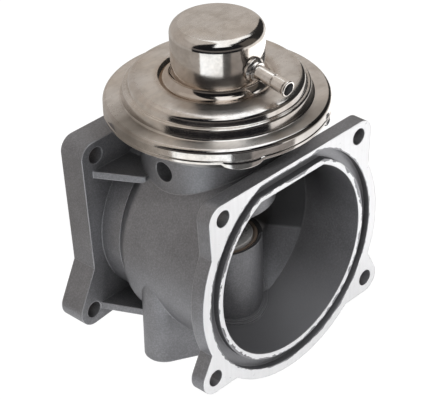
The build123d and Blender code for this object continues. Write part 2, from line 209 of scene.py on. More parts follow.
class ValveStage(bpy.types.PropertyGroup):
    """Camera, floor and light."""

    azimuth: FloatProperty(
        name="Camera azimuth", description="Angle round the valve", default=radians(-46.112),
        subtype="ANGLE", unit="ROTATION",
    )
    elevation: FloatProperty(
        name="Camera elevation", description="Angle above level", default=radians(32.968),
        subtype="ANGLE", unit="ROTATION",
    )
    roll: FloatProperty(
        name="Camera roll", description="Tilt about the line of sight",
        default=radians(-1.352), subtype="ANGLE", unit="ROTATION",
    )
    distance: FloatProperty(
        name="Camera distance", description="Camera to the middle of the valve",
        default=0.78875, subtype="DISTANCE", unit="LENGTH",
    )
    aim_height: measure("Aim height", "Point looked at, above the pad", 55.41 * MM)
    aim_shift: measure("Aim shift", "Camera's place along its own right", -1.361 * MM)
    lens: FloatProperty(
        name="Lens", description="Focal length in millimetres", default=165.625, min=10,
    )
    key: FloatProperty(
        name="Key lamp", description="Power of the soft lamp on the left in watts",
        default=7.6, min=0,
    )
    fill: FloatProperty(
        name="Front lamp", description="Power of the soft lamp before the mouth in watts",
        default=5.0, min=0,
    )
    rim: FloatProperty(
        name="Right lamp", description="Power of the lamp behind the front flange in watts",
        default=2.5, min=0,
    )
    sky: FloatProperty(
        name="Room light", description="Strength of the even light all round",
        default=0.22, min=0,
    )


# ---------------------------------------------------------------- material helpers


class Graph:
    """Short way to write a material's nodes."""

    def __init__(self, name):
        self.material = bpy.data.materials.new(name)
        self.material.use_nodes = True
        self.tree = self.material.node_tree
        self.tree.nodes.clear()
        self.surface = self.add("ShaderNodeBsdfPrincipled")
        self.out = self.add("ShaderNodeOutputMaterial")
        self.link(self.surface.outputs["BSDF"], self.out.inputs["Surface"])
        self.place = self.add("ShaderNodeTexCoord").outputs["Object"]

    def add(self, kind, **settings):
        node = self.tree.nodes.new(kind)
        for key, value in settings.items():
            setattr(node, key, value)
        return node

    def link(self, source, target):
        self.tree.links.new(source, target)

    def feed(self, socket, value):
        if hasattr(value, "is_linked"):
            self.link(value, socket)
        else:
            socket.default_value = value

    def noise(self, scale, detail=2.0, rough=0.5, where=None):
        node = self.add("ShaderNodeTexNoise")
        node.inputs["Scale"].default_value = scale
        node.inputs["Detail"].default_value = detail
        node.inputs["Roughness"].default_value = rough
        self.link(where or self.place, node.inputs["Vector"])
        return node.outputs["Fac"]

    def stretched(self, sx, sy, sz):
        node = self.add("ShaderNodeMapping")
        node.inputs["Scale"].default_value = (sx, sy, sz)
        self.link(self.place, node.inputs["Vector"])
        return node.outputs["Vector"]

    def math(self, operation, a, b=0.0, c=0.0):
        node = self.add("ShaderNodeMath", operation=operation)
        for socket, value in zip(node.inputs, (a, b, c)):
            self.feed(socket, value)
        return node.outputs[0]

    def both(self, *masks):
        result = masks[0]
        for mask in masks[1:]:
            result = self.math("MULTIPLY", result, mask)
        return result

    def either(self, *masks):
        result = masks[0]
        for mask in masks[1:]:
            result = self.math("MAXIMUM", result, mask)
        return result

    def length(self, a, b):
        return self.math("SQRT", self.math("ADD", self.both(a, a), self.both(b, b)))

    def span(self, value, low, high, new_low=0.0, new_high=1.0, smooth=False):
        node = self.add("ShaderNodeMapRange")
        node.interpolation_type = "SMOOTHSTEP" if smooth else "LINEAR"
        for key, number in (
            ("From Min", low), ("From Max", high), ("To Min", new_low), ("To Max", new_high)
        ):
            node.inputs[key].default_value = number
        self.feed(node.inputs["Value"], value)
        return node.outputs["Result"]

    def mix(self, factor, a, b):
        node = self.add("ShaderNodeMix", data_type="RGBA")
        self.feed(node.inputs["Factor"], factor)
        for socket, value in ((node.inputs[6], a), (node.inputs[7], b)):
            self.feed(socket, (*value, 1.0) if isinstance(value, tuple) else value)
        return node.outputs[2]

    def blend(self, factor, a, b):
        node = self.add("ShaderNodeMix", data_type="FLOAT")
        for key, value in (("Factor", factor), ("A", a), ("B", b)):
            self.feed(node.inputs[key], value)
        return node.outputs[0]

    def bump(self, height, strength, distance, under=None):
        node = self.add("ShaderNodeBump")
        self.feed(node.inputs["Strength"], strength)
        node.inputs["Distance"].default_value = distance
        self.link(height, node.inputs["Height"])
        if under:
            self.link(under, node.inputs["Normal"])
        return node.outputs["Normal"]

    def parts_of(self, vector):
        node = self.add("ShaderNodeSeparateXYZ")
        self.link(vector, node.inputs[0])
        return node.outputs[0], node.outputs[1], node.outputs[2]

    def finish(self, **sockets):
        for key, value in sockets.items():
            self.feed(self.surface.inputs[key.replace("_", " ").title()], value)
        return self.material


def shade(colour, factor):
    """The colour made darker or lighter by a factor."""
    return tuple(channel * factor for channel in colour)


def cutter_marks(g, sizes, normal):
    """Masks of the milled faces and of the seal groove's floor."""
    x, y, z = g.parts_of(g.place)
    ny, nz = normal[1:]

    def on_plane(value, plane):
        away = g.math("ABSOLUTE", g.math("SUBTRACT", value, plane))
        return g.span(away, 0.04 * MM, 0.09 * MM, 1.0, 0.0)

    rise = g.math("SUBTRACT", z, sizes.axis_height)
    reach = g.length(x, rise)

    def beyond(radius, flat):
        return g.either(g.math("SUBTRACT", reach, radius), g.math("SUBTRACT", rise, flat))

    ragged = g.noise(170, 3.0, 0.6)
    limit = g.span(ragged, 0.35, 0.65, 0.35 * sizes.lip, 1.1 * sizes.lip)
    lip = g.math("LESS_THAN", beyond(sizes.mouth_radius, sizes.mouth_flat), limit)
    raw = g.span(ragged, 0.35, 0.75, -0.1 * MM, 1.1 * MM)
    outer = g.math("GREATER_THAN", beyond(sizes.groove_radius, sizes.groove_flat), raw)
    forward = g.span(ny, -0.9, -0.8, 1.0, 0.0)
    front = g.both(on_plane(y, HOUSING_LOW.y), forward, g.either(lip, outer))
    floor = g.both(on_plane(y, HOUSING_LOW.y + sizes.groove_depth), forward)
    rear = g.both(on_plane(y, HOUSING_HIGH.y), g.span(ny, 0.8, 0.9))
    pad = g.both(on_plane(z, 0.0), g.span(nz, -0.9, -0.8, 1.0, 0.0))
    top = g.both(on_plane(z, HOUSING_HIGH.z), g.span(nz, 0.8, 0.9))
    return g.either(front, rear, pad, top), floor


def soot_and_painted_shade(g, sizes, normal, skin, cast):
    """Skin with soot in the duct and the painted shade and light that stand in for its
    lighting, and the mask of the soot and painted shadow.
    """
    x, y, z = g.parts_of(g.place)
    nx, nz = normal[0], normal[2]
    rise = g.math("SUBTRACT", z, sizes.axis_height)
    from_stem = g.length(x, y)
    inward = g.math("ADD", g.both(nx, x), g.both(nz, rise))
    facing_in = g.span(inward, 0.0, -MM)
    duct = g.span(g.length(x, rise), sizes.throat_radius + 0.5 * MM, sizes.throat_radius)
    past_throat = g.span(y, sizes.throat - 0.6 * MM, sizes.throat + 0.1 * MM)
    off_tube = g.span(from_stem, sizes.tube_radius, sizes.tube_radius + MM)
    clear = g.either(g.span(rise, 2 * MM, 5 * MM), off_tube)
    behind = g.both(past_throat, clear, duct, facing_in)
    foot = sizes.soot_and_shadow_foot
    # Soot high in the duct behind the throat; its sharp lower edge stands in for a shadow
    # edge, so the mask is partly painted shadow.
    soot_and_shadow = g.both(behind, g.span(rise, foot, foot + 2 * MM, smooth=True))
    # Painted shade: darker towards the top, deep in the duct behind the throat.
    painted_deep_shade = g.both(behind, g.span(rise, -36 * MM, foot + 0.5 * MM, 0.0, 0.55))
    # Painted shade in the bore in front of the throat: darker deeper in and towards the top.
    taper = g.both(facing_in, g.span(y, sizes.throat + MM, sizes.throat - MM), off_tube)
    high = g.both(g.span(rise, -24 * MM, 16 * MM), g.span(y, -37 * MM, -20 * MM))
    low = g.both(g.span(rise, -38 * MM, -22 * MM, 0.0, 0.55), g.span(y, -38 * MM, -15 * MM))
    painted_hood_shade = g.both(g.either(high, low), taper)
    # Painted light: the lower part of the bore in front of the throat made lighter.
    painted_low_light = g.both(taper, g.span(rise, -14 * MM, -34 * MM, 0.0, 0.8))
    skin = g.mix(painted_low_light, skin, shade(cast, 1.45))
    skin = g.mix(painted_deep_shade, skin, shade(cast, 0.35))
    skin = g.mix(painted_hood_shade, skin, shade(cast, 0.20))
    return g.mix(g.both(soot_and_shadow, 0.9), skin, shade(cast, 0.05)), soot_and_shadow


def cast_and_milled(colours, sizes):
    """As-cast aluminium skin, bright on the faces that a cutter has crossed, with soot,
    painted shade and painted light in the duct, painted shade in its corners and painted
    highlights on its open edges.
    """
    g = Graph("cast_aluminium")
    cast, milled = tuple(colours.cast), tuple(colours.milled)
    true = g.add("ShaderNodeNewGeometry").outputs["True Normal"]
    normal = g.parts_of(true)
    grain = g.noise(1500, 4.0, 0.62)
    mottle = g.noise(110, 4.0, 0.6)
    cloud = g.noise(26, 2.0, 0.5)
    worn = g.add("ShaderNodeBevel", samples=6)
    worn.inputs["Radius"].default_value = sizes.edge
    turned = g.add("ShaderNodeVectorMath", operation="DOT_PRODUCT")
    g.link(worn.outputs["Normal"], turned.inputs[0])
    g.link(true, turned.inputs[1])
    edge = g.span(turned.outputs["Value"], 0.999, 0.88)
    faces, floor = cutter_marks(g, sizes, normal)

    skin = g.mix(g.span(mottle, 0.35, 0.7), shade(cast, 1.08), shade(cast, 0.86))
    skin = g.mix(g.span(cloud, 0.3, 0.75, 0.0, 0.45), skin, shade(cast, 1.2))
    skin = g.mix(g.span(grain, 0.38, 0.60, 0.45, 0.0), skin, shade(cast, 0.55))
    skin = g.mix(g.span(grain, 0.52, 0.72, 0.0, 0.30), skin, shade(cast, 1.5))
    skin = g.mix(g.both(floor, 0.30), skin, shade(cast, 1.5))
    skin, soot_and_shadow = soot_and_painted_shade(g, sizes, normal, skin, cast)

    # Painted shade: the skin darkened in the casting's own corners and recesses, from ambient
    # occlusion, less on the groove's floor.
    corners = g.add("ShaderNodeAmbientOcclusion", samples=6, only_local=True)
    corners.inputs["Distance"].default_value = sizes.corner_shade_reach
    open_sky = corners.outputs["AO"]
    corner_shade = g.both(g.span(open_sky, 0.72, 0.18, 0.0, 0.72), g.span(floor, 0.0, 1.0, 1.0, 0.25))
    skin = g.mix(corner_shade, skin, shade(cast, 0.16))
    # Open edges away from the soot made lighter: wear and painted highlight both.
    worn_and_highlit_edge = g.both(
        edge,
        g.span(mottle, 0.35, 0.65, 0.35, 0.95),
        g.span(open_sky, 0.55, 0.75, 0.15, 1.0),
        g.span(soot_and_shadow, 0.0, 0.5, 1.0, 0.0),
    )
    skin = g.mix(worn_and_highlit_edge, skin, shade(cast, 2.3))

    cut = g.noise(700, 2.0, 0.5, g.stretched(1.0, 1.0, 0.05))
    pits = g.noise(420, 2.0, 0.6)
    bright = g.mix(g.span(cut, 0.3, 0.7), shade(milled, 0.94), milled)
    bright = g.mix(g.span(pits, 0.70, 0.78, 0.0, 0.55), bright, shade(milled, 0.45))
    dull = g.math("ADD", g.span(grain, 0.2, 0.8, 0.38, 0.54), g.both(soot_and_shadow, 0.3))
    broad = g.bump(mottle, g.blend(faces, 0.35, 0.0), 0.30 * MM, worn.outputs["Normal"])
    return g.finish(
        base_color=g.mix(faces, skin, bright),
        roughness=g.blend(faces, dull, g.span(cut, 0.3, 0.7, 0.34, 0.46)),
        metallic=g.blend(faces, g.span(soot_and_shadow, 0.0, 1.0, 0.80, 0.3), 0.2),
        normal=g.bump(grain, g.blend(faces, 0.55, 0.05), 0.16 * MM, broad),
    )


def bright_plate(colours, name, satin=0.30, polish=0.115, tone=1.0, side_shade_from=0.0):
    """Nickel plate on pressed sheet: satin on the level faces, polished on bends.

    A radius given in the last argument darkens the plate outside it with painted shade,
    standing for dark reflections, on the rim's two sides across the camera's line.
    """
    g = Graph(name)
    plate, warm = shade(colours.plated, tone), shade(colours.tarnish, tone)
    nz = g.parts_of(g.add("ShaderNodeNewGeometry").outputs["Normal"])[2]
    level = g.span(nz, 0.955, 0.998, 0.0, 1.0, smooth=True)
    cloud = g.noise(38, 3.0, 0.6)
    rub = g.noise(900, 3.0, 0.6)
    streak = g.noise(420, 3.0, 0.6, g.stretched(0.18, 1.0, 1.0))
    wave = g.noise(70, 1.0, 0.4)
    smear = g.noise(150, 4.0, 0.65)
    colour = g.mix(g.span(cloud, 0.42, 0.70), plate, warm)
    colour = g.mix(g.span(streak, 0.4, 0.8, 0.0, 0.5), colour, shade(plate, 0.68))
    colour = g.mix(g.span(smear, 0.46, 0.74, 0.0, 0.55), colour, shade(warm, 0.60))
    x, y, z = g.parts_of(g.place)
    out = g.length(x, y)
    # Warm, darker tint near the tower's foot.
    foot_tint = g.both(
        g.span(z, COVER_HIGH.z + 8 * MM, COVER_HIGH.z + MM),
        g.span(out, 25 * MM, 22.5 * MM),
        g.span(cloud, 0.3, 0.65, 0.35, 0.85),
    )
    colour = g.mix(foot_tint, colour, shade(colours.foot_tint, tone))
    if side_shade_from:
        across = g.math("ADD", g.both(x, cos(SIDE_SHADE_TURN)), g.both(y, sin(SIDE_SHADE_TURN)))
        side = g.math("ABSOLUTE", g.math("DIVIDE", across, out))
        back = g.math("SUBTRACT", g.both(y, cos(SIDE_SHADE_TURN)), g.both(x, sin(SIDE_SHADE_TURN)))
        # Painted shade on the rim's left and right towards the camera, standing for dark
        # reflections.
        painted_side_shade = g.both(
            g.span(side, 0.45, 0.8, smooth=True),
            g.span(g.math("DIVIDE", back, out), -0.1, -0.5),
            g.span(out, side_shade_from, side_shade_from + 1.3 * MM),
            g.span(cloud, 0.25, 0.65, 0.6, 1.0),
        )
        colour = g.mix(painted_side_shade, colour, shade(warm, 0.35))
    rough = g.math("ADD", g.blend(level, polish, satin), g.span(rub, 0.3, 0.8, -0.02, 0.05))
    rough = g.math("ADD", rough, g.span(cloud, 0.35, 0.7, -0.02, 0.05))
    broad = g.bump(wave, 0.12, 0.35 * MM)
    normal = g.bump(streak, g.blend(level, 0.03, 0.04), 0.03 * MM, broad)
    return g.finish(base_color=colour, roughness=rough, metallic=1.0, normal=normal)


def turned_steel(colours, name, tone=1.0, rough=0.24, tint=None, metal=1.0):
    """Steel with fine turning lines round the valve axis."""
    g = Graph(name)
    steel = shade(tint or tuple(colours.steel), tone)
    lines = g.noise(5200, 1.0, 0.5, g.stretched(0.04, 0.04, 1.0))
    cloud = g.noise(140, 3.0, 0.6)
    colour = g.mix(g.span(cloud, 0.3, 0.75), shade(steel, 0.80), steel)
    uneven = g.math("ADD", g.span(cloud, 0.3, 0.8, -0.04, 0.08), rough)
    return g.finish(
        base_color=colour, roughness=uneven, metallic=metal,
        normal=g.bump(lines, 0.12, 0.04 * MM),
    )


def sooty_bronze(colours):
    """Sintered bronze with open pores."""
    g = Graph("sintered_bronze")
    bronze = tuple(colours.bronze)
    pores = g.noise(3000, 2.0, 0.6)
    colour = g.mix(g.span(pores, 0.35, 0.6), shade(bronze, 0.55), bronze)
    return g.finish(
        base_color=colour, roughness=g.span(pores, 0.3, 0.7, 0.5, 0.32), metallic=1.0,
        normal=g.bump(pores, 0.2, 0.05 * MM),
    )


def matt_rubber(colours):
    """Rubber on cloth, with a pale bloom."""
    g = Graph("matt_rubber")
    rubber = tuple(colours.rubber)
    weave = g.noise(1800, 3.0, 0.6)
    bloom = g.noise(60, 2.0, 0.5)
    colour = g.mix(g.span(bloom, 0.35, 0.8), rubber, shade(rubber, 1.9))
    return g.finish(
        base_color=colour, roughness=g.span(weave, 0.3, 0.7, 0.62, 0.78),
        normal=g.bump(weave, 0.25, 0.05 * MM),
    )


def pressed_fibre(colours):
    """Gasket board of pressed strands."""
    g = Graph("gasket_fibre")
    fibre = tuple(colours.fibre)
    strands = g.noise(900, 4.0, 0.7, g.stretched(1.0, 0.3, 1.0))
    colour = g.mix(g.span(strands, 0.3, 0.7), shade(fibre, 0.7), shade(fibre, 1.35))
    return g.finish(
        base_color=colour, roughness=0.85, normal=g.bump(strands, 0.3, 0.08 * MM)
    )


def dress(node, material):
    """Gives a node of the frame its finish and smooth shading inside each face."""
    mesh = nodes[node].data
    mesh.materials.clear()
    mesh.materials.append(material)
    mesh.polygons.foreach_set("use_smooth", [True] * len(mesh.polygons))


# ---------------------------------------------------------------- shape helpers


def rounded(corners, turn=radians(7.0)):
    """Line through (across, up, bend) corners, each turned at its bend radius."""
    line = [corners[0][:2]]
    for index in range(1, len(corners) - 1):
        before, corner, after = (Vector(c[:2]) for c in corners[index - 1 : index + 2])
        bend = corners[index][2]
        into, out = (corner - before).normalized(), (after - corner).normalized()
        cross = into.x * out.y - into.y * out.x
        angle = atan2(cross, into.dot(out))
        if bend <= 0 or abs(angle) < 1e-4:
            line.append(tuple(corner))
            continue
        reach = bend * tan(abs(angle) / 2)
        start = corner - into * reach
        side = 1 if angle > 0 else -1
        centre = start + Vector((-into.y, into.x)) * bend * side
        count = max(2, int(abs(angle) / turn) + 1)
        spoke = start - centre
        for step in range(count + 1):
            part = angle * step / count
            line.append(
                (
                    centre.x + spoke.x * cos(part) - spoke.y * sin(part),
                    centre.y + spoke.x * sin(part) + spoke.y * cos(part),
                )
            )
    line.append(corners[-1][:2])
    return line


def divided(line, longest):
    """The same line with no run longer than longest."""
    fine = [line[0]]
    for (x0, z0), (x1, z1) in zip(line, line[1:]):
        count = max(1, int(hypot(x1 - x0, z1 - z0) / longest) + 1)
        fine += [
            (x0 + (x1 - x0) * k / count, z0 + (z1 - z0) * k / count)
            for k in range(1, count + 1)
        ]
    return fine


def with_thickness(line, sheet):
    """Closed outline of a sheet whose upper side follows the line."""
    under = []
    for index, point in enumerate(line):
        ahead = Vector(line[min(index + 1, len(line) - 1)])
        behind = Vector(line[max(index - 1, 0)])
        run = (ahead - behind).normalized()
        under.append((max(point[0] + run.y * sheet, 0.0), point[1] - run.x * sheet))
    return line + under[::-1]


def lathe(name, outline, segments, closed=True, place=Matrix.Identity(4), shift=None):
    """Mesh turned about Z from an outline of (radius, height) points."""
    work = bmesh.new()
    rings = []
    for radius, height in outline:
        if radius < 1e-7:
            rings.append([work.verts.new((0, 0, height))])
            continue
        ring = []
        for step in range(segments):
            turn = 2 * pi * step / segments
            r, z = shift(radius, height, turn) if shift else (radius, height)
            ring.append(work.verts.new((r * cos(turn), r * sin(turn), z)))
        rings.append(ring)
    pairs = list(zip(rings, rings[1:]))
    if closed:
        pairs.append((rings[-1], rings[0]))
    for low, high in pairs:
        for step in range(segments):
            following = (step + 1) % segments
            if len(low) == 1 and len(high) == 1:
                continue
            if len(low) == 1:
                corners = (low[0], high[following], high[step])
            elif len(high) == 1:
                corners = (low[step], low[following], high[0])
            else:
                corners = (low[step], low[following], high[following], high[step])
            work.faces.new(corners)
    bmesh.ops.recalc_face_normals(work, faces=work.faces)
    work.transform(place)
    mesh = bpy.data.meshes.new(name)
    work.to_mesh(mesh)
    work.free()
    mesh.polygons.foreach_set("use_smooth", [True] * len(mesh.polygons))
    mesh.set_sharp_from_angle(angle=radians(40))
    piece = bpy.data.objects.new(name, mesh)
    bpy.context.scene.collection.objects.link(piece)
    return piece


def stand_for(piece, body, slot_name, material, *replaced):
    """Puts a piece on a body in the place of nodes of the frame."""
    piece.data.materials.append(material)
    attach(piece, body)
    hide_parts(*replaced)


# ---------------------------------------------------------------- operators


class VALVE_OT_stage(bpy.types.Operator):
    """Camera, pale floor, even room light, soft lamps and reflection cards"""

    bl_idname = "valve.stage"
    bl_label = "Stage"

    def execute(self, context):
        stage = context.scene.valve_stage
        context.scene.view_settings.view_transform = "Standard"
        self.camera(context, stage)
        self.floor(context)
        self.world(context, stage)
        self.lamp(context, "lamp_key", stage.key, 0.40, (-0.84, -0.46, 0.33))
        self.lamp(context, "lamp_front", stage.fill, 0.10, (-0.16, -0.60, 0.84))
        self.lamp(context, "lamp_right", stage.rim, 0.25, (0.85, 0.02, 0.22))
        self.cards(context, stage)
        return {"FINISHED"}

    def camera(self, context, stage):
        a, e, roll = stage.azimuth, stage.elevation, stage.roll
        right = Vector((cos(a), sin(a), 0))
        ahead = Vector((-sin(a) * cos(e), cos(a) * cos(e), -sin(e)))
        up = right.cross(ahead)
        turned_right = right * cos(roll) + up * sin(roll)
        turned_up = up * cos(roll) - right * sin(roll)
        aim = Vector((0, 0, stage.aim_height))
        data = bpy.data.cameras.new("camera")
        data.sensor_fit = "HORIZONTAL"
        data.sensor_width = 36.0
        data.lens = stage.lens
        data.clip_start, data.clip_end = 0.05, 20.0
        camera = bpy.data.objects.new("camera", data)
        context.scene.collection.objects.link(camera)
        basis = Matrix((turned_right, turned_up, -ahead)).transposed().to_4x4()
        basis.translation = aim - ahead * stage.distance + turned_right * stage.aim_shift
        camera.matrix_world = basis
        context.scene.camera = camera

    def floor(self, context):
        g = Graph("pale_floor")
        speck = g.noise(120, 2.0, 0.5)
        g.finish(
            base_color=g.mix(speck, (0.70, 0.70, 0.70), (0.72, 0.72, 0.72)), roughness=0.9
        )
        rays = g.add("ShaderNodeLightPath").outputs
        glow = g.add("ShaderNodeEmission")
        glow.inputs["Strength"].default_value = 1.20
        direct, glossy = rays["Is Camera Ray"], rays["Is Glossy Ray"]
        seen = g.either(g.both(direct, 0.80), g.both(glossy, 0.43))
        mixed = g.add("ShaderNodeMixShader")
        g.link(seen, mixed.inputs[0])
        g.link(g.surface.outputs["BSDF"], mixed.inputs[1])
        g.link(glow.outputs[0], mixed.inputs[2])
        g.link(mixed.outputs[0], g.out.inputs["Surface"])
        level = cad_box[0][2] - 0.0002
        floor = lathe("floor", [(0.0, level), (6.0, level)], 48, closed=False)
        floor.data.materials.append(g.material)

    def world(self, context, stage):
        world = bpy.data.worlds.new("room")
        world.use_nodes = True
        tree = world.node_tree
        tree.nodes.clear()
        rays = tree.nodes.new("ShaderNodeLightPath")
        seen = rays.outputs["Is Camera Ray"]
        for kind in ("Is Glossy Ray", "Is Transmission Ray"):
            either = tree.nodes.new("ShaderNodeMath")
            either.operation = "MAXIMUM"
            tree.links.new(seen, either.inputs[0])
            tree.links.new(rays.outputs[kind], either.inputs[1])
            seen = either.outputs[0]
        strength = tree.nodes.new("ShaderNodeMapRange")
        strength.inputs["To Min"].default_value = stage.sky
        strength.inputs["To Max"].default_value = 1.0
        tree.links.new(seen, strength.inputs["Value"])
        ground = tree.nodes.new("ShaderNodeBackground")
        ground.inputs["Color"].default_value = (1.0, 1.0, 1.0, 1.0)
        tree.links.new(strength.outputs["Result"], ground.inputs["Strength"])
        out = tree.nodes.new("ShaderNodeOutputWorld")
        tree.links.new(ground.outputs[0], out.inputs["Surface"])
        context.scene.world = world

    def lamp(self, context, name, power, size, where):
        data = bpy.data.lights.new(name, "AREA")
        data.shape = "DISK"
        data.size = size
        data.energy = power
        lamp = bpy.data.objects.new(name, data)
        context.scene.collection.objects.link(lamp)
        lamp.location = where
        aim = Vector((0, 0, LAMP_AIM)) - Vector(where)
        lamp.rotation_euler = aim.to_track_quat("-Z", "Y").to_euler()
        lamp.visible_glossy = False
        lamp.visible_camera = False

    def cards(self, context, stage):
        """Cards round the set and on the floor, seen only in the bright metal.

        Each runs from one turn to another, counter-clockwise from the camera's side
        in degrees, and between two heights above level, or two distances out along
        the floor in metres.
        """
        black, beige, left = (0.012, 0.012, 0.014), (0.54, 0.495, 0.452), (0.49, 0.45, 0.415)
        white = (1.38, 1.42, 1.45)
        far = (NEAR[1], ROOM)
        for name, turns, heights, colour in (
            ("card_back", (160, 190), (-2, 50), beige),
            ("card_left", (190, 300), (-2, 50), left),
            ("card_high_left", (190, 300), (50, 90), (0.60, 0.56, 0.52)),
            ("card_dark_high", (300, 350), (50, 88), black),
            ("card_white_front", (-10, 40), (50, 90), white),
            ("card_dark_shoulder", (40, 125), (50, 64), black),
            ("card_white_right", (40, 125), (64, 90), white),
            ("card_white_back", (125, 190), (50, 90), white),
            ("card_dark_front", (-60, 60), (14, 50), black),
            ("card_low_front", (-60, 60), (-2, 14), (0.16, 0.15, 0.145)),
            ("card_right", (60, 100), (-2, 50), (0.12, 0.11, 0.10)),
            ("card_dark_right", (100, 160), (-2, 50), (0.03, 0.03, 0.03)),
        ):
            self.card(context, stage, name, turns, heights, ROOM, colour)
        for name, turns, reach, colour in (
            ("floor_white", (-42, 11), NEAR, (1.32, 1.38, 1.42)),
            ("floor_dark", (11, 30), NEAR, (0.12, 0.12, 0.12)),
            ("floor_warm", (30, 75), NEAR, (0.34, 0.315, 0.30)),
            ("floor_light", (75, 172), NEAR, (1.8, 1.8, 1.8)),
            ("floor_beige", (172, 318), NEAR, (0.40, 0.37, 0.34)),
            ("floor_far_front", (-60, 60), far, black),
            ("floor_far_right", (60, 150), far, (1.0, 0.98, 0.96)),
            ("floor_far_left", (150, 300), far, (0.50, 0.47, 0.44)),
        ):
            self.card(context, stage, name, turns, reach, 0.0, colour)

    def card(self, context, stage, name, turns, spread, radius, colour):
        front = stage.azimuth - pi / 2
        level = cad_box[0][2] - 0.0001
        count = max(2, int(abs(turns[1] - turns[0]) / 5))
        work = bmesh.new()
        grid = []
        for row in range(9):
            place = spread[0] + (spread[1] - spread[0]) * row / 8
            out, up = place, level
            if radius:
                out, up = radius * cos(radians(place)), radius * sin(radians(place))
            line = []
            for column in range(count + 1):
                turn = front + radians(turns[0] + (turns[1] - turns[0]) * column / count)
                line.append(work.verts.new((out * cos(turn), out * sin(turn), up)))
            grid.append(line)
        for low, high in zip(grid, grid[1:]):
            for column in range(count):
                work.faces.new(
                    (low[column], low[column + 1], high[column + 1], high[column])
                )
        mesh = bpy.data.meshes.new(name)
        work.to_mesh(mesh)
        work.free()
        card = bpy.data.objects.new(name, mesh)
        context.scene.collection.objects.link(card)
        paper = bpy.data.materials.new(name)
        paper.use_nodes = True
        tree = paper.node_tree
        tree.nodes.clear()
        glow = tree.nodes.new("ShaderNodeEmission")
        glow.inputs["Color"].default_value = (*colour, 1.0)
        out = tree.nodes.new("ShaderNodeOutputMaterial")
        tree.links.new(glow.outputs[0], out.inputs["Surface"])
        mesh.materials.append(paper)
        card.visible_camera = False
        card.visible_diffuse = False
        card.visible_shadow = False
        card.visible_transmission = False


class VALVE_OT_casting(bpy.types.Operator):
    """Cast duct housing with worn and highlit edges, painted shade in its corners and duct,
    and milled faces
    """

    bl_idname = "valve.casting"
    bl_label = "Casting"

    def execute(self, context):
        scene = context.scene
        dress("housing", cast_and_milled(scene.valve_colours, scene.valve_casting))
        return {"FINISHED"}


class VALVE_OT_cover(bpy.types.Operator):
    """Pressed and plated cover with its rolled rim and lugs"""

    bl_idname = "valve.cover"
    bl_label = "Cover"

    def execute(self, context):
        sizes = context.scene.valve_cover
        rim, plateau, step = sizes.rim_radius, sizes.plateau_radius, sizes.step_radius
        recess = sizes.recess_radius
        high, low = COVER_HIGH.z, COVER_HIGH.z - sizes.height
        sunk, shoulder = high - sizes.recess_depth, high - sizes.rim_drop
        hole = 15.2 * MM
        corners = [
            (hole, sunk, 0),
            (recess - 1.6 * MM, sunk, 1.0 * MM),
            (recess - 0.1 * MM, high - 0.35 * MM, 1.2 * MM),
            (recess + 2.0 * MM, high, 5.0 * MM),
            (plateau - 5.2 * MM, high, 16.0 * MM),
            (plateau - 2.4 * MM, high - 0.25 * MM, 10.0 * MM),
            (plateau, high - sizes.dome, 1.8 * MM),
            (plateau + 0.6 * MM, high - 3.85 * MM, 0.55 * MM),
            (step, high - 4.1 * MM, 0.9 * MM),
            (step + 0.8 * MM, shoulder + 0.15 * MM, 0.9 * MM),
            (rim, shoulder, 1.6 * MM),
            (rim, low + 2.0 * MM, 0.15 * MM),
            (rim - sizes.crease, low + 1.65 * MM, 0.15 * MM),
            (rim, low + 1.3 * MM, 0.25 * MM),
            (rim, low, 0.45 * MM),
            (rim - 4.0 * MM, low, 0),
        ]
        line = divided(rounded(corners), 1.2 * MM)
        lugs, half_lug = (radians(-124.5), radians(-58.0)), radians(10.5)
        depth = sizes.lobe_start

        def lobe(radius, height, turn):
            if height > low + depth or radius < rim - 3.6 * MM:
                return radius, height
            drop = 0.0
            for lug in lugs:
                away = (turn - lug + pi) % (2 * pi) - pi
                along = abs(away) / half_lug
                if along < 1:
                    drop = (1 - along**2) ** 0.6 * sizes.lobe_drop
            return radius, height - drop * (1 - (height - low) / depth)

        cover = lathe(
            "plated_cover", with_thickness(line, sizes.sheet), sizes.segments, shift=lobe
        )
        colours = context.scene.valve_colours
        material = bright_plate(colours, "plated_sheet", side_shade_from=step)
        stand_for(cover, "body", "cover_plated", material, "cover")
        return {"FINISHED"}


class VALVE_OT_tower(bpy.types.Operator):
    """Drawn spring tower on the cover"""

    bl_idname = "valve.tower"
    bl_label = "Tower"

    def execute(self, context):
        sizes = context.scene.valve_tower
        top, foot = TOWER_HIGH.z, TOWER_LOW.z + sizes.foot_rise
        corners = [
            (0.0, top, 0),
            (sizes.radius - 6.5 * MM, top - 0.03 * MM, 20 * MM),
            (sizes.radius, top - 0.4 * MM, sizes.bend),
            (sizes.radius - 0.4 * MM, foot, sizes.foot_bend),
            (TOWER_HIGH.x, foot, 0),
        ]
        line = divided(rounded(corners, radians(4.0)), 1.4 * MM)
        tower = lathe(
            "drawn_tower",
            with_thickness(line, sizes.sheet),
            context.scene.valve_cover.segments,
            closed=False,
            place=Matrix.Translation(sizes.offset),
        )
        material = bright_plate(context.scene.valve_colours, "plated_tower", 0.26, 0.10)
        stand_for(tower, "body", "cover_plated", material, "spring_tower")
        return {"FINISHED"}


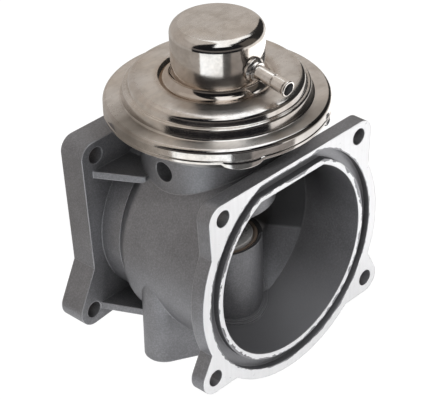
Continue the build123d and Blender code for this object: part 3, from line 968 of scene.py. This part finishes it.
class VALVE_OT_spigot(bpy.types.Operator):
    """Vacuum spigot with its hose end, and the collar at its root"""

    bl_idname = "valve.spigot"
    bl_label = "Spigot and collar"

    def execute(self, context):
        sizes = context.scene.valve_tower
        lean = sizes.spigot_lean
        along = Vector((0, -cos(lean), -sin(lean)))
        root = Vector((0, -sizes.radius, COVER_HIGH.z + sizes.spigot_height))
        across = Vector((1, 0, 0))
        place = Matrix((across, along.cross(across), along)).transposed().to_4x4()
        place.translation = root + Vector(sizes.offset)
        r, bead, bore = sizes.spigot_radius, sizes.spigot_bead, sizes.spigot_bore
        end = sizes.spigot_length
        groove, inner = end - sizes.spigot_hose, -2.0 * MM
        corners = [
            (bore, inner, 0),
            (r, inner, 0),
            (r, groove - 0.55 * MM, 0.1 * MM),
            (r - 0.45 * MM, groove - 0.40 * MM, 0.05 * MM),
            (r - 0.45 * MM, groove - 0.05 * MM, 0.05 * MM),
            (r + 0.05 * MM, groove + 0.15 * MM, 0.12 * MM),
            (r + 0.05 * MM, end - 1.8 * MM, 1.2 * MM),
            (bead, end - 0.9 * MM, 0.5 * MM),
            (bead, end - 0.1 * MM, 0.35 * MM),
            (bore + 0.30 * MM, end, 0.2 * MM),
            (bore + 0.25 * MM, end - 1.2 * MM, 0.2 * MM),
            (bore, inner, 0),
        ]
        colours = context.scene.valve_colours
        # The tube's and collar's plate is 1.22 times lighter than the cover's: painted light
        # for their brighter highlight.
        material = bright_plate(colours, "plated_tube", 0.28, 0.22, 1.22)
        tube = lathe("spigot_tube", rounded(corners, radians(18))[:-1], 64, place=place)
        stand_for(tube, "body", "cover_plated", material, "vacuum_spigot")
        # Dark sleeve and end disc inside the bore, in the rubber finish: painted shade that
        # makes the bore read dark.
        painted_bore_shade = lathe(
            "spigot_bore_shade",
            [
                (0.0, end - 6.0 * MM),
                (bore + 0.1 * MM, end - 6.0 * MM),
                (bore + 0.2 * MM, end - 0.25 * MM),
            ],
            48, closed=False, place=place,
        )
        painted_bore_shade.data.materials.append(matt_rubber(colours))
        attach(painted_bore_shade, "body")
        wide = sizes.collar_radius
        corners = [
            (r, -0.8 * MM, 0),
            (wide, -0.8 * MM, 0),
            (wide, 0.6 * MM, 0.6 * MM),
            (wide - 0.9 * MM, 1.3 * MM, 0.4 * MM),
            (wide - 1.1 * MM, 2.3 * MM, 0.4 * MM),
            (r, 2.4 * MM, 0),
        ]
        collar = lathe("spigot_root_collar", rounded(corners, radians(15)), 64, place=place)
        stand_for(collar, "body", "cover_plated", material, "spigot_collar")
        return {"FINISHED"}


class VALVE_OT_valve(bpy.types.Operator):
    """Poppet head, stem, seat, guide, scraper and seal"""

    bl_idname = "valve.poppet"
    bl_label = "Poppet and guide"

    def execute(self, context):
        colours = context.scene.valve_colours
        bright = turned_steel(colours, "turned_steel")
        tint = tuple(colours.heat_tint)
        dark = turned_steel(colours, "heat_tinted_steel", 0.62, 0.34, tint, 0.35)
        # The head's steel is 1.1 times lighter than the stem's: painted light for the bright
        # crescent on the head.
        head = turned_steel(colours, "ground_steel", 1.1, 0.24, metal=0.55)
        bronze = sooty_bronze(colours)
        dress("valve_head", head)
        dress("valve_stem", bright)
        dress("seat_ring", dark)
        for node in ("stem_guide", "stem_scraper"):
            dress(node, bronze)
        dress("stem_seal", matt_rubber(colours))
        dress("seal_retainer", turned_steel(colours, "retainer_steel", 0.9, 0.3))
        return {"FINISHED"}


class VALVE_OT_chamber(bpy.types.Operator):
    """Pan, gasket, screws, diaphragm pack and spring inside the chamber"""

    bl_idname = "valve.chamber"
    bl_label = "Chamber inside"

    def execute(self, context):
        colours = context.scene.valve_colours
        pressed = turned_steel(colours, "pressed_steel", 1.0, 0.32)
        zinc = turned_steel(colours, "zinc_steel", 1.05, 0.36)
        rubber = matt_rubber(colours)
        for node in ("lower_pan", "backing_plate", "piston_cup", "stem_washer", "spring_seat"):
            dress(node, pressed)
        for node in ("pan_screws", "stem_nut"):
            dress(node, zinc)
        self.flexing("diaphragm", "rubber_black", rubber, DIAPHRAGM_BEAD)
        self.flexing("return_spring", "steel_spring", zinc, SPRING_TOP)
        dress("heat_gasket", pressed_fibre(colours))
        return {"FINISHED"}

    def flexing(self, node, slot_name, material, fixed):
        """Copy of a frame node with smooth shading, put on the body in the node's place."""
        mesh = nodes[node].data.copy()
        mesh.materials.clear()
        mesh.polygons.foreach_set("use_smooth", [True] * len(mesh.polygons))
        piece = bpy.data.objects.new("flexing_" + node, mesh)
        bpy.context.scene.collection.objects.link(piece)
        stand_for(piece, "body", slot_name, material, node)
        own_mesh(piece)


class VALVE_PT_panel(bpy.types.Panel):
    """Sidebar panel with the sizes, colours and steps"""

    bl_idname = "VALVE_PT_panel"
    bl_label = "Recirculation valve"
    bl_space_type = "VIEW_3D"
    bl_region_type = "UI"
    bl_category = "Valve"

    def draw(self, context):
        for group in (
            context.scene.valve_casting,
            context.scene.valve_cover,
            context.scene.valve_tower,
            context.scene.valve_colours,
            context.scene.valve_stage,
        ):
            column = self.layout.column(align=True)
            for key in type(group).__annotations__:
                column.prop(group, key)
        for step in STEPS:
            self.layout.operator(step.bl_idname)


STEPS = (
    VALVE_OT_stage,
    VALVE_OT_casting,
    VALVE_OT_cover,
    VALVE_OT_tower,
    VALVE_OT_spigot,
    VALVE_OT_valve,
    VALVE_OT_chamber,
)
GROUPS = {
    "valve_casting": ValveCastingSizes,
    "valve_cover": ValveCoverSizes,
    "valve_tower": ValveTowerSizes,
    "valve_colours": ValveColours,
    "valve_stage": ValveStage,
}


def register():
    for group in GROUPS.values():
        bpy.utils.register_class(group)
    for name, group in GROUPS.items():
        setattr(bpy.types.Scene, name, PointerProperty(type=group))
    for step in (*STEPS, VALVE_PT_panel):
        bpy.utils.register_class(step)


def unregister():
    for step in reversed((*STEPS, VALVE_PT_panel)):
        bpy.utils.unregister_class(step)
    for name, group in GROUPS.items():
        delattr(bpy.types.Scene, name)
        bpy.utils.unregister_class(group)


def main():
    register()
    for step in STEPS:
        family, name = step.bl_idname.split(".")
        getattr(getattr(bpy.ops, family), name)()


if __name__ == "__main__":
    main()
